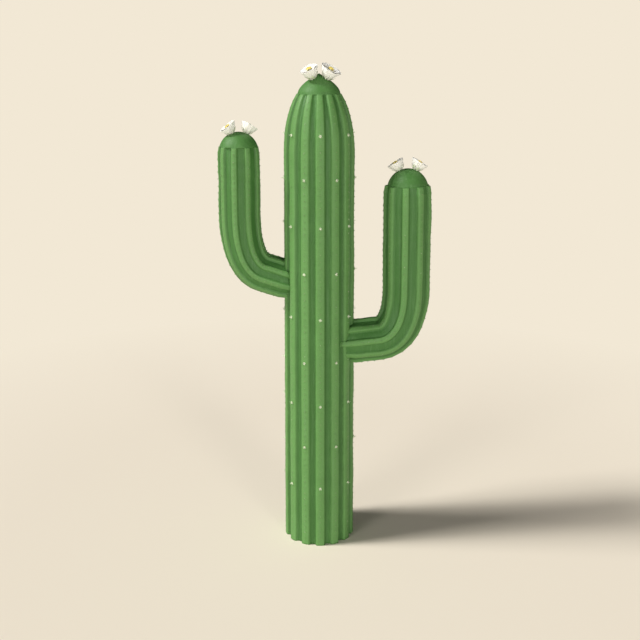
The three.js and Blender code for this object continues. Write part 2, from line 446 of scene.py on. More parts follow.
@dataclass(frozen=True)
class SkinFinish:
    """Waxy green skin, paler along the crests of the ribs and darker in the grooves, where the dark is
    painted shade.

    Clouds vary the colour and the roughness, streaks of wax run up the ribs, and grain varies the shade.
    Creases run across the ribs. Scales are repeats in a metre, and depths are in metres.
    """

    crest: Colour = (0.117, 0.276, 0.076)
    # The groove colour is darker than the crest's as painted shade in the hollows between the ribs.
    groove: Colour = (0.056, 0.170, 0.036)
    wax: Colour = (0.150, 0.300, 0.120)
    roughness: float = 0.52
    specular: float = 0.32
    roughness_spread: Span = (-0.05, 0.08)
    cloud_scale: float = 9.0
    cloud_range: Span = (0.3, 0.7)
    cloud_reach: float = 0.14
    streak_scale: Triple = (70.0, 70.0, 3.0)
    streak_range: Span = (0.52, 0.78)
    streak_share: float = 0.30
    grain_scale: float = 130.0
    grain_range: Span = (0.25, 0.75)
    grain_shade: Span = (0.90, 1.08)
    crease_scale: Triple = (9.0, 9.0, 95.0)
    crease_depth: float = 0.0009
    pore_scale: float = 620.0
    pore_depth: float = 0.0003

    def material(self) -> bpy.types.Material:
        """Builds the material, which reads the mesh's rib_height attribute.

        Returns:
            The skin's material.
        """
        kit = Nodes("waxy_skin_painted_groove_shade", self.roughness, self.specular)
        place = kit.add("TexCoord").outputs["Object"]
        height = kit.add("Attribute", {"attribute_name": "rib_height"}).outputs["Fac"]
        cloud = kit.noise(place, self.cloud_scale, 3.0)
        grain = kit.noise(place, self.grain_scale, 3.0)
        streak = kit.noise(kit.stretched(place, self.streak_scale), 1.0)
        uneven = kit.span(cloud, self.cloud_range, (-self.cloud_reach, self.cloud_reach))
        level = kit.span(kit.math("ADD", height, uneven), (0.0, 1.0), (0.0, 1.0))
        # Groove to crest by rib height: the pale crest is the plant's own, the dark groove end is painted
        # shade.
        body = kit.blend(level, self.groove, self.crest)
        veil = kit.span(streak, self.streak_range, (0.0, self.streak_share))
        waxed = kit.blend(veil, body, self.wax)
        shade = kit.span(grain, self.grain_range, self.grain_shade)
        grey = kit.add("CombineColor", Red=shade, Green=shade, Blue=shade).outputs[0]
        low, high = (self.roughness + spread for spread in self.roughness_spread)
        crease = kit.noise(kit.stretched(place, self.crease_scale), 1.0)
        pores = kit.noise(place, self.pore_scale, 1.0)
        creased = kit.bump(crease, self.crease_depth)
        for socket, value in (
            ("Base Color", kit.blend(1.0, waxed, grey, "MULTIPLY")),
            ("Roughness", kit.span(cloud, self.cloud_range, (low, high))),
            ("Normal", kit.bump(pores, self.pore_depth, creased)),
        ):
            kit.feed(kit.shader.inputs[socket], value)
        return kit.material


@dataclass(frozen=True)
class PlainFinish:
    """One tint of the small parts, which are dealt out by cluster, petal or anther.

    grain is the depth in metres of a fine unevenness, and 0 on parts too thin to show one.
    """

    name: str
    colour: Colour
    roughness: float = 0.6
    specular: float = 0.3
    grain: float = 0.0
    grain_scale: float = 900.0
    sheen: float = 0.0

    def material(self) -> bpy.types.Material:
        """Builds the material, with a bump where the tint has a grain.

        Returns:
            The tint's material.
        """
        kit = Nodes(self.name, self.roughness, self.specular)
        kit.shader.inputs["Base Color"].default_value = (*self.colour, 1)
        kit.shader.inputs["Sheen Weight"].default_value = self.sheen
        if self.grain > 0:
            place = kit.add("TexCoord").outputs["Object"]
            rough = kit.noise(place, self.grain_scale)
            kit.feed(kit.shader.inputs["Normal"], kit.bump(rough, self.grain))
        return kit.material


FELT_TINTS = (
    PlainFinish("felt_cream", (0.76, 0.84, 0.64), 0.95, 0.1, 0.0004, 1500.0, 0.3),
    PlainFinish("felt_tan", (0.19, 0.29, 0.12), 0.95, 0.1, 0.0004, 1500.0, 0.3),
)
SPINE_TINTS = (
    PlainFinish("spine_straw", (0.82, 0.87, 0.68), 0.42, 0.4),
    PlainFinish("spine_pale_green", (0.27, 0.41, 0.17), 0.42, 0.4),
    PlainFinish("spine_tawny", (0.33, 0.33, 0.16), 0.42, 0.4),
)
PETAL_TINTS = (
    PlainFinish("petal_white", (0.94, 0.93, 0.89), 0.48, 0.3, 0.00015, 420.0, 0.4),
    PlainFinish("petal_ivory", (0.92, 0.90, 0.84), 0.48, 0.3, 0.00015, 420.0, 0.4),
)
BRACT_TINTS = (
    PlainFinish("bract_pale", (0.82, 0.83, 0.72), 0.5, 0.3, 0.0002, 500.0),
    PlainFinish("bract_green", (0.64, 0.70, 0.50), 0.5, 0.3, 0.0002, 500.0),
)
TUBE_TINTS = (PlainFinish("tube_green", (0.52, 0.60, 0.38), 0.5, 0.3, 0.0003, 500.0),)
FILAMENT_TINTS = (PlainFinish("filament_cream", (0.86, 0.80, 0.50), 0.5, 0.3),)
ANTHER_TINTS = (
    PlainFinish("anther_gold", (0.92, 0.72, 0.15), 0.7, 0.2),
    PlainFinish("anther_yellow", (0.95, 0.82, 0.27), 0.7, 0.2),
)
PISTIL_TINTS = (PlainFinish("pistil_cream", (0.74, 0.76, 0.46), 0.5, 0.3),)


def dressed(tints: tuple[PlainFinish, ...]) -> list[bpy.types.Material]:
    """Returns the materials of some tints, each made only once."""
    return [bpy.data.materials.get(tint.name) or tint.material() for tint in tints]


# ---- Limbs ----


@dataclass(frozen=True)
class RibSection:
    """The section of a ribbed limb.

    Angles round a limb are measured from its front towards its side direction. groove is the depth of a
    groove as a share of the crest radius. A flank lies between two shares of the half turn from the
    middle of a crest to the middle of a groove.
    """

    ribs: int
    first_crest: float
    groove: float
    flank: tuple[float, float]
    columns: int
    crowning: float = 0.0014
    crowding: float = 0.30

    def crest_angles(self) -> Array:
        """Returns the angle of the middle of each crest."""
        return math.radians(self.first_crest) + np.arange(self.ribs) * 2 * math.pi / self.ribs

    def column_angles(self) -> tuple[Array, Array]:
        """The mesh columns, drawn closer together on the flanks.

        Returns:
            The angle of each column, and its share of the half turn from crest to groove.
        """
        even = np.arange(self.columns) / self.columns - 0.5
        turn = even + self.crowding / (4 * math.pi) * np.sin(4 * math.pi * even)
        angles = self.crest_angles()[:, None] + turn[None, :] * 2 * math.pi / self.ribs
        return angles.ravel(), np.tile(np.abs(turn) * 2, self.ribs)

    def low(self, share: Array) -> Array:
        """Returns how far down into the groove the section is, 0 on a crest and 1 in a groove."""
        return smooth(self.flank[0], self.flank[1], share)

    def crown(self, share: Array) -> Array:
        """Returns how far the section drops from the middle of a crest at each share of the half turn."""
        return -self.crowning * np.clip(share / self.flank[0], 0, 1) ** 2


@dataclass
class Stations:
    """Rings along a limb: distance, crest radius, and how far the grooves are cut, from 0 to 1."""

    along: Array
    crest: Array
    ribbed: Array


@dataclass
class Areoles:
    """Areole sites of a limb: distance, rib number, and whether each is one of the large ones."""

    along: Array
    rib: Array
    large: Array


@dataclass(frozen=True)
class Relief:
    """Small unevenness of a limb's skin, in metres."""

    waves: int = 9
    wave_depth: float = 0.0004
    wave_length: Span = (0.16, 0.9)
    swelling: float = 0.0022
    swelling_reach: float = 0.0095
    large_swelling: float = 0.0040
    large_reach: float = 0.0135
    swelling_width: float = 1.25
    waists: int = 7
    waist_depth: float = 0.0016
    waist_reach: float = 0.028
    waist_zone: Span = (0.12, 0.88)


@dataclass
class Limb(ABC):
    """A ribbed limb: its skin, its felt and its spines.

    SQUEEZE is how much closer together the body's rings are at the shoulder, as a share of their spacing,
    and DOME_TONE the height on a rib, from 0 to 1, whose colour the smooth dome takes; being low, it gives
    the dome much of the grooves' painted shade.
    """

    name: str
    nodes: list[str]
    section: RibSection
    seed: int

    AREOLE_SPACING = 0.0486
    BODY_RINGS = 225
    SQUEEZE = 0.36
    STEP_HEIGHT = 0.007
    STEP_RINGS = 7
    DOME_RINGS = 34
    TIP_RADIUS = 0.0008
    DOME_TONE = 0.25
    relief = Relief()

    @abstractmethod
    def stations(self) -> Stations:
        """Returns the rings of the skin."""

    @abstractmethod
    def place(self, along: Array) -> tuple[Array, Array, Array]:
        """Returns the centre, front and side directions at distances along the limb."""

    @abstractmethod
    def crest(self, along: Array) -> Array:
        """Returns the crest radius at distances along the limb below its shoulder."""

    @abstractmethod
    def dome_height(self, radius: Array) -> Array:
        """Returns the height of the dome at distances from its axis."""

    @abstractmethod
    def areoles(self) -> Areoles:
        """Returns the areole sites."""

    def rings_up(
        self, shoulder: float, dome: float, rising: Array, radius: Array, top: float
    ) -> Stations:
        """The rings of the ribbed body, of the small step where the ribs end, and of the dome.

        Args:
            shoulder: Distance along the limb where the step starts.
            dome: Radius of the dome at the top of the step.
            rising: Distances of the dome's rings.
            radius: Radii of the dome's rings.
            top: Distance of the limb's tip.

        Returns:
            All of the rings, closer together just below the shoulder.
        """
        even = np.linspace(0, 1, self.BODY_RINGS)
        body = shoulder * (even + self.SQUEEZE * even**8 * (1 - even))
        share = np.linspace(0, 1, self.STEP_RINGS)[1:]
        step = shoulder + self.STEP_HEIGHT * np.sin(share * math.pi / 2)
        crest = float(self.crest(np.array(shoulder)))
        return Stations(
            np.concatenate([body, step, rising, [top]]),
            np.concatenate([self.crest(body), crest + (dome - crest) * share**2, radius, [self.TIP_RADIUS]]),
            np.concatenate([np.ones(len(body)), np.cos(share * math.pi / 2), np.zeros(len(radius) + 1)]),
        )

    def skin_shape(self) -> tuple[Shape, Array, Array]:
        """The limb's closed skin.

        Returns:
            The shape, each point's height on its rib from 0 to 1, and each point's place in a map.
        """
        rings = self.stations()
        angles, share = self.section.column_angles()
        centre, front, side = self.place(rings.along)
        cut = self.section.low(share)[None, :] * rings.ribbed[:, None]
        radius = rings.crest[:, None] * (1 - self.section.groove * cut)
        # The unevenness fades out where the rings of the dome get small.
        settle = np.clip(rings.crest / rings.crest.max() * 2 - 0.2, 0, 1)
        radius += self.unevenness(rings, angles, share) * settle[:, None]
        spokes = (
            front[:, None, :] * np.cos(angles)[None, :, None]
            + side[:, None, :] * np.sin(angles)[None, :, None]
        )
        rows = centre[:, None, :] + spokes * radius[..., None]
        ribbed = rings.ribbed[:, None]
        # The rib height sets the colour, from painted groove shade at 0 to the crest at 1; the dome sits low.
        height = ribbed * (1 - self.section.low(share))[None, :] + (1 - ribbed) * self.DOME_TONE
        around = np.arange(len(angles)) / len(angles)
        up = rings.along / rings.along[-1]
        chart = np.stack(np.broadcast_arrays(around[None, :], up[:, None]), axis=-1).reshape(-1, 2)
        tip = self.place(rings.along[-1:])[0][0]
        shape = Shape.tube(rows, centre[0], tip)
        ends = np.array([[0.5, 0.0], [0.5, 1.0]])
        return shape, np.append(height.ravel(), [0, self.DOME_TONE]), np.vstack([chart, ends])

    def unevenness(self, rings: Stations, angles: Array, share: Array) -> Array:
        """Crowned crests, swellings under the areoles, slow waves and faint waists.

        Args:
            rings: The skin's rings.
            angles: Angle of each column.
            share: Share of the half turn from crest to groove of each column.

        Returns:
            How far each point of the skin stands out, as rings by columns.
        """
        rng = np.random.default_rng(self.seed)
        relief = self.relief
        out = self.section.crown(share)[None, :] * rings.ribbed[:, None]
        for _ in range(relief.waves):
            length = rng.uniform(*relief.wave_length)
            turns = rng.integers(0, self.section.ribs)
            start = rng.uniform(0, 2 * math.pi)
            phase = rings.along[:, None] * 2 * math.pi / length + turns * angles[None, :] + start
            out = out + relief.wave_depth * np.sin(phase)
        for waist in rng.uniform(*relief.waist_zone, relief.waists) * rings.along.max():
            dip = np.exp(-(((rings.along - waist) / relief.waist_reach) ** 2))
            out = out - relief.waist_depth * rng.uniform(0.4, 1.0) * dip[:, None]
        return out + self.swellings(rings, share)

    def swellings(self, rings: Stations, share: Array) -> Array:
        """The raised skin under each areole.

        Args:
            rings: The skin's rings.
            share: Share of the half turn from crest to groove of each column.

        Returns:
            How far each point of the skin stands out, as rings by columns.
        """
        relief = self.relief
        sites = self.areoles()
        out = np.zeros((len(rings.along), len(share)))
        pitch = math.pi / self.section.ribs
        for rib in range(self.section.ribs):
            columns = slice(rib * self.section.columns, (rib + 1) * self.section.columns)
            arc = share[None, columns] * pitch * rings.crest[:, None]
            for large, depth, reach in (
                (False, relief.swelling, relief.swelling_reach),
                (True, relief.large_swelling, relief.large_reach),
            ):
                at = sites.along[(sites.rib == rib) & (sites.large == large)]
                near = np.exp(-(((rings.along[:, None] - at[None, :]) / reach) ** 2)).sum(axis=1)
                spread = np.exp(-((arc / (reach * relief.swelling_width)) ** 2))
                out[:, columns] += depth * near[:, None] * spread
        return out

    def site_frames(self, sites: Areoles) -> tuple[Array, Array]:
        """Where each areole stands, and how it is turned.

        Args:
            sites: The areole sites.

        Returns:
            The sites' places, and one 3 by 3 matrix each, with columns across, up the rib and outwards.
        """
        step = 1e-4
        angle = self.section.crest_angles()[sites.rib]
        centre, front, side = self.place(sites.along)
        slope = (self.crest(sites.along + step) - self.crest(sites.along - step)) / (2 * step)
        spoke = front * np.cos(angle)[:, None] + side * np.sin(angle)[:, None]
        across = side * np.cos(angle)[:, None] - front * np.sin(angle)[:, None]
        tangent = np.cross(spoke, across)
        upward = unit(tangent + spoke * slope[:, None])
        outward = np.cross(across, upward)
        swelling = np.where(sites.large, self.relief.large_swelling, self.relief.swelling)
        reach = self.crest(sites.along) + swelling
        return centre + spoke * reach[:, None], np.stack([across, upward, outward], axis=-1)

    def build_skin(self, skin: bpy.types.Material) -> None:
        """Builds and dresses the skin.

        Args:
            skin: The skin's material.
        """
        shape, height, chart = self.skin_shape()
        mesh = add_piece(self.name + "_skin", shape, [skin], Slot.STEM, self.nodes).data
        level = mesh.attributes.new("rib_height", "FLOAT", "POINT")
        level.data.foreach_set("value", height.astype(np.float32))
        add_chart(mesh, "around_and_up", chart)

    def build_cover(self) -> None:
        """Builds the felt cushions and the spines."""
        rng = np.random.default_rng(self.seed + 1)
        sites = self.areoles()
        places, frames = self.site_frames(sites)
        felt, spines = SpineCover(rng).shapes(places, frames, sites.large)
        add_piece(self.name + "_felt", felt, dressed(FELT_TINTS), Slot.STEM, self.nodes)
        add_piece(self.name + "_spines", spines, dressed(SPINE_TINTS), Slot.STEM, self.nodes)


@dataclass(frozen=True)
class Cluster:
    """The felt cushion and the spines of one kind of areole, in metres.

    spine_odds is how often a site's spines take each of the spine tints.
    """

    felt_radius: float
    felt_columns: int
    felt_rows: int
    felt_tint: int
    spines: int
    spine_length: float
    spine_radius: float
    spine_sides: int
    spine_odds: Triple


SMALL_CLUSTER = Cluster(0.0027, 7, 3, 1, 7, 0.0085, 0.00036, 3, (0.12, 0.60, 0.28))
LARGE_CLUSTER = Cluster(0.0056, 14, 6, 0, 20, 0.0230, 0.00115, 5, (1.0, 0.0, 0.0))


@dataclass
class SpineCover:
    """Felt cushions and spines on areole sites."""

    rng: Random

    UPRIGHT_LEAN = (0.05, 0.45)
    SPREAD_LEAN = (0.95, 1.35)
    SPREAD_LENGTH = 0.62
    SEATING = (0.45, 0.45, 0.35)

    def shapes(self, places: Array, frames: Array, large: Array) -> tuple[Shape, Shape]:
        """The felt and the spines of some sites.

        Args:
            places: Where each site is.
            frames: How each site is turned, with outwards as the third column.
            large: Which sites are large ones.

        Returns:
            The joined cushions, and the joined spines.
        """
        felt, spines = [], []
        for chosen, kind in ((~large, SMALL_CLUSTER), (large, LARGE_CLUSTER)):
            if not chosen.any():
                continue
            at, turned = places[chosen], frames[chosen]
            sizes = kind.felt_radius * self.rng.uniform(0.85, 1.15, (len(at), 1, 1))
            pad = cushion(self.rng, kind.felt_columns, kind.felt_rows)
            felt.append(pad.copies(turned * sizes, at, np.full(len(at), kind.felt_tint)))
            spines.append(self.fan(kind, at, turned))
        return Shape.joined(felt), Shape.joined(spines)

    def fan(self, kind: Cluster, at: Array, turned: Array) -> Shape:
        """The spines of equal sites: a few stand out, and the rest spread round them.

        Args:
            kind: What stands on each site.
            at: Where each site is.
            turned: How each site is turned.

        Returns:
            The joined spines.
        """
        rng, count = self.rng, kind.spines
        each = (len(at), count)
        upright = np.arange(count) < max(2, count // 4)
        lean = np.where(upright, rng.uniform(*self.UPRIGHT_LEAN, each), rng.uniform(*self.SPREAD_LEAN, each))
        turn = np.arange(count) * GOLDEN_TURN + rng.uniform(-0.3, 0.3, each)
        local = np.stack([np.sin(lean) * np.cos(turn), np.sin(lean) * np.sin(turn), np.cos(lean)], axis=-1)
        along = np.einsum("nij,nkj->nki", turned, local).reshape(-1, 3)
        outward = np.repeat(turned[:, :, 2], count, axis=0)
        across = unit(np.cross(outward, along + 1e-6))
        bow = np.cross(across, along)
        reach = kind.spine_length * np.where(upright, 1.0, self.SPREAD_LENGTH) * rng.uniform(0.75, 1.0, each)
        seated = np.einsum("nij,nkj->nki", turned, local * self.SEATING).reshape(-1, 3)
        root = np.repeat(at, count, axis=0) + seated * kind.felt_radius
        thick = kind.spine_radius
        frames = np.stack([bow * thick, across * thick, along * reach.reshape(-1, 1)], axis=-1)
        tints = np.repeat(rng.choice(3, len(at), p=kind.spine_odds), count)
        return needle(kind.spine_sides).copies(frames, root, tints)


@dataclass
class Trunk(Limb):
    """The trunk, from its flat cut at ground level to its pointed dome."""

    tip: float
    ground_radius: float = 0.278
    upper_radius: float = 0.260
    crown_start: float = 2.900
    crown_loss: float = 0.363
    crown_power: float = 3.5
    shoulder: float = 3.462
    dome_radius: float = 0.153
    dome_power: float = 1.75
    first_ring: float = 0.5006
    ring_spacing: float = 0.3402
    rings: int = 8
    crown_ring: float = 3.190

    BODY_RINGS = 300
    LATTICE = (-9, 62)
    JITTER = 0.004
    END_MARGIN = 0.03
    CLEARANCE = 0.6

    def crest(self, along: Array) -> Array:
        """The taper of the trunk, and the narrowing of its crown.

        Args:
            along: Heights below the shoulder.

        Returns:
            The crest radius at each of them.
        """
        lower = self.ground_radius + (self.upper_radius - self.ground_radius) * along / self.crown_start
        share = np.clip((along - self.crown_start) / (self.shoulder - self.crown_start), 0, 1.05)
        upper = self.upper_radius * (1 - self.crown_loss * share**self.crown_power)
        return np.where(along <= self.crown_start, lower, upper)

    def dome_height(self, radius: Array) -> Array:
        """Returns the height of the dome at distances from the axis."""
        base = self.shoulder + self.STEP_HEIGHT
        return base + (self.tip - base) * (1 - radius / self.dome_radius) ** (1 / self.dome_power)

    def stations(self) -> Stations:
        """Works out the trunk's rings, up to its pointed dome.

        Returns:
            The rings of its skin.
        """
        turn = np.linspace(0, 1, self.DOME_RINGS)[1:-1] * math.pi / 2
        radius = self.dome_radius * np.cos(turn)
        return self.rings_up(self.shoulder, self.dome_radius, self.dome_height(radius), radius, self.tip)

    def place(self, along: Array) -> tuple[Array, Array, Array]:
        """Returns the centre, front and side directions at heights."""
        size = len(along)
        return along[:, None] * UP, np.tile(FRONT, (size, 1)), np.tile(RIGHT, (size, 1))

    def areoles(self) -> Areoles:
        """Sets out the areoles, with rings of large ones on every other rib in turn.

        Returns:
            The areole sites.
        """
        rng = np.random.default_rng(self.seed + 2)
        along, rib, large = [], [], []
        ring_heights = [self.first_ring + self.ring_spacing * ring for ring in range(self.rings)]
        ring_heights.append(self.crown_ring)
        for number in range(self.section.ribs):
            big = [at for ring, at in enumerate(ring_heights) if ring % 2 == number % 2]
            lattice = self.first_ring + self.AREOLE_SPACING * np.arange(*self.LATTICE)
            lattice = lattice + rng.uniform(-self.JITTER, self.JITTER, len(lattice))
            clear = [
                at
                for at in lattice
                if self.END_MARGIN < at < self.shoulder - self.END_MARGIN
                and min(abs(at - other) for other in big) > self.CLEARANCE * self.AREOLE_SPACING
            ]
            along += big + clear
            rib += [number] * (len(big) + len(clear))
            large += [True] * len(big) + [False] * len(clear)
        return Areoles(np.array(along), np.array(rib), np.array(large))


@dataclass
class Arm(Limb):
    """An arm that leaves the trunk, bends, and stands upright with a round dome.

    exit_height is the height of its centre line where it leaves the trunk, and rise its slope there in
    degrees. reach is how far out the upright part stands, and lean how far its top comes back in. forward
    is how far in front of the trunk's axis the arm starts.
    """

    tip: float
    side: int
    exit_height: float
    rise: float
    reach: float
    lean: float
    bend_in: float
    bend_up: float
    forward: float
    root_radius: float
    crest_radius: float
    shoulder: float
    dome_radius: float

    EXIT = 0.263
    START = 0.120
    START_SHARE = 0.8
    BEND_POINTS = 400
    NECK = ((0.150, 1.0), (0.050, 0.985), (0.0, 0.94))
    JITTER = 0.006
    FOOT_MARGIN = 0.05
    TOP_MARGIN = 0.025

    def __post_init__(self) -> None:
        """Works out the arm's centre line."""
        slope = math.tan(math.radians(self.rise))
        height = self.exit_height - self.EXIT * slope
        corner = np.array([self.side * self.reach, 0.0, height + self.reach * slope])
        start = np.array([self.side * self.START, -self.forward, height + self.START * slope])
        top = np.array([self.side * (self.reach - self.lean), 0.0, self.tip])
        bend_share = self.bend_in * math.cos(math.radians(self.rise)) / (self.reach - self.START)
        begin = corner + (start - corner) * bend_share
        end = corner + (top - corner) * self.bend_up / (self.tip - corner[2])
        share = np.linspace(0, 1, self.BEND_POINTS)[:, None]
        bend = (1 - share) ** 2 * begin + 2 * share * (1 - share) * corner + share**2 * end
        self.line = np.vstack([start, bend, top])
        turning = (1 - share) * (corner - begin) + share * (end - corner)
        self.course = unit(np.vstack([begin - start, turning, top - end]))
        steps = np.linalg.norm(np.diff(self.line, axis=0), axis=1)
        self.distance = np.concatenate([[0], np.cumsum(steps)])
        self.bend_start, self.bend_end = self.distance[1], self.distance[-2]
        self.length = self.distance[-1]
        self.upright_slope = float(np.linalg.norm(top - end) / (top[2] - end[2]))

    def at_height(self, height: Array) -> Array:
        """Returns the distance along the centre line at heights on the upright part."""
        return self.length - (self.tip - height) * self.upright_slope

    def place(self, along: Array) -> tuple[Array, Array, Array]:
        """Where the arm's centre line is, and how its section is turned.

        Args:
            along: Distances along the arm.

        Returns:
            The centre, the front direction and the side direction at each of them.
        """
        centre = np.stack([np.interp(along, self.distance, self.line[:, axis]) for axis in range(3)], axis=-1)
        course = unit(
            np.stack([np.interp(along, self.distance, self.course[:, axis]) for axis in range(3)], axis=-1)
        )
        side = unit(np.cross(course, FRONT))
        return centre, np.cross(side, course), side

    def crest(self, along: Array) -> Array:
        """The arm's thickness: narrower at its root and in the neck under its dome.

        Args:
            along: Distances along the arm below its shoulder.

        Returns:
            The crest radius at each of them.
        """
        clear = (self.EXIT - self.START) / math.cos(math.radians(self.rise))
        root = np.clip(self.START_SHARE + (1 - self.START_SHARE) * along / clear, self.START_SHARE, 1)
        body = self.root_radius + (self.crest_radius - self.root_radius) * smooth(
            self.bend_start, self.bend_end, along
        )
        below = [float(self.at_height(self.shoulder - drop)) for drop, _ in self.NECK]
        neck = np.interp(along, below, [share for _, share in self.NECK])
        return body * root * neck

    def stations(self) -> Stations:
        """Works out the arm's rings, up to its round dome.

        Returns:
            The rings of its skin.
        """
        shoulder = float(self.at_height(self.shoulder))
        base = self.tip - self.dome_radius
        lowest = math.asin((self.shoulder + self.STEP_HEIGHT - base) / self.dome_radius)
        tilt = lowest + (math.pi / 2 - lowest) * np.linspace(0, 1, self.DOME_RINGS)[1:-1]
        rising = self.at_height(base + self.dome_radius * np.sin(tilt))
        dome = self.dome_radius * math.cos(lowest)
        return self.rings_up(shoulder, dome, rising, self.dome_radius * np.cos(tilt), self.length)

    def dome_height(self, radius: Array) -> Array:
        """Returns the height of the dome at distances from the upright part's axis."""
        return self.tip - self.dome_radius + np.sqrt(self.dome_radius**2 - radius**2)

    def areoles(self) -> Areoles:
        """Sets out the areoles, all of them small.

        Returns:
            The areole sites.
        """
        rng = np.random.default_rng(self.seed + 2)
        start = self.EXIT - self.START + self.FOOT_MARGIN
        end = float(self.at_height(self.shoulder)) - self.TOP_MARGIN
        lattice = np.arange(start, end, self.AREOLE_SPACING)
        jitter = rng.uniform(-self.JITTER, self.JITTER, (self.section.ribs, len(lattice)))
        along = lattice[None, :] + jitter
        rib = np.repeat(np.arange(self.section.ribs), len(lattice))
        return Areoles(along.ravel(), rib, np.zeros(len(rib), bool))


# ---- Blooms ----


@dataclass(frozen=True)
class Whorl:
    """One ring of petals or bracts.

    course is the petal's middle line as points of (share of the rim radius, share of the height). width is
    the half width at its widest, widest the share of its length there, and sharp how pointed its tip is.
    """

    count: int
    course: tuple[Span, ...]
    width: float
    widest: float
    sharp: float
    thickness: float
    curl: float
    first: float


OUTER_PETALS = Whorl(
    11, ((0.34, 0.07), (0.70, 0.47), (0.90, 0.81), (1.0, 0.95)), 0.0250, 0.66, 0.50, 0.0011, 0.12, 0.0
)
MIDDLE_PETALS = Whorl(
    11, ((0.34, 0.62), (0.58, 0.80), (0.80, 0.90), (0.97, 0.955)), 0.0215, 0.64, 0.55, 0.0010, 0.08, 0.5
)
INNER_PETALS = Whorl(
    10, ((0.26, 0.78), (0.46, 0.87), (0.67, 0.92), (0.86, 0.955)), 0.0190, 0.62, 0.60, 0.0009, 0.06, 0.25
)
UPPER_BRACTS = Whorl(
    8, ((0.34, 0.00), (0.51, 0.14), (0.66, 0.29), (0.78, 0.43)), 0.0095, 0.45, 0.9, 0.0012, 0.10, 0.2
)
LOWER_BRACTS = Whorl(
    7, ((0.32, -0.04), (0.41, 0.04), (0.51, 0.13), (0.61, 0.23)), 0.0080, 0.42, 0.9, 0.0013, 0.10, 0.6
)


